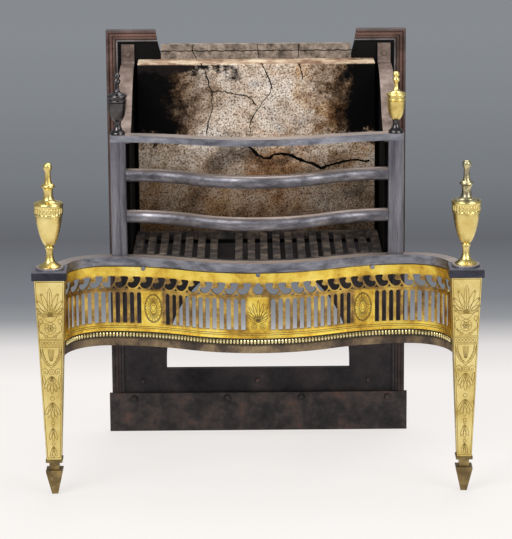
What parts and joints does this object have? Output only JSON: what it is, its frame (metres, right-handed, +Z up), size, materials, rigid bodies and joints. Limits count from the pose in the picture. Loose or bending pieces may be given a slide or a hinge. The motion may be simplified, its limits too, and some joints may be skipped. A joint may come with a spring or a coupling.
{
  "type": "fire grate",
  "caption": "Serpentine fire grate: tall cast back plate with fireclay, bowed bars, a loose bottom grid, a pierced brass fret and square tapering legs under urn finials.",
  "frame": {"origin": "on the floor under the middle of the grate's bounding box", "axes": "+X to the viewer's right along the width, -Y to the front, +Z up"},
  "size_m": [0.8, 0.428, 0.786],
  "materials": {
    "plate_iron": "grey blackened cast iron with rust stains",
    "bar_steel": "worn polished steel, tarnished brown",
    "stay_iron": "rusty wrought iron",
    "grid_iron": "rusty cast iron",
    "foot_iron": "brown patinated steel",
    "brass": "worn polished brass",
    "urn_steel": "dark burnished steel",
    "fireclay": "rough fireclay, cracked and sooty",
    "fastener_iron": "dark iron"
  },
  "bodies": {
    "grate": {"back_plate": "plate_iron", "bead_moulding": "brass", "fireback": "fireclay", "foot_plate": "stay_iron", "foot_plate_bolts": "fastener_iron", "fret": "brass", "fret_screws": "fastener_iron", "left_bearer": "stay_iron", "left_cheek": "stay_iron", "left_foot": "foot_iron", "left_leg_cap": "bar_steel", "left_leg_casing": "brass", "left_leg_core": "stay_iron", "left_small_urn_body": "urn_steel", "left_small_urn_cover": "urn_steel", "left_small_urn_foot": "urn_steel", "left_small_urn_stud": "fastener_iron", "left_stay": "stay_iron", "left_upright": "bar_steel", "left_urn_body": "brass", "left_urn_cover": "brass", "left_urn_stud": "fastener_iron", "left_urn_washer": "foot_iron", "lower_rail": "stay_iron", "lower_round_bar": "bar_steel", "plate_rivets": "fastener_iron", "rear_shelf": "stay_iron", "right_bearer": "stay_iron", "right_cheek": "stay_iron", "right_foot": "foot_iron", "right_leg_cap": "bar_steel", "right_leg_casing": "brass", "right_leg_core": "stay_iron", "right_small_urn_body": "brass", "right_small_urn_cover": "brass", "right_small_urn_foot": "urn_steel", "right_small_urn_stud": "fastener_iron", "right_stay": "stay_iron", "right_upright": "bar_steel", "right_urn_body": "brass", "right_urn_cover": "brass", "right_urn_stud": "fastener_iron", "right_urn_washer": "foot_iron", "serpentine_rail": "bar_steel", "stay_rivets": "fastener_iron", "top_bar": "bar_steel", "top_tile": "fireclay", "upper_round_bar": "bar_steel"},
    "grid": {"bottom_grid": "grid_iron"}
  },
  "joints": [
    {"name": "grid_tilt", "type": "hinge", "parent": "grate", "child": "grid", "pos_m": [0, 0.125, 0.4], "axis": [-1, 0, 0], "range_deg": [0, 80]}
  ]
}
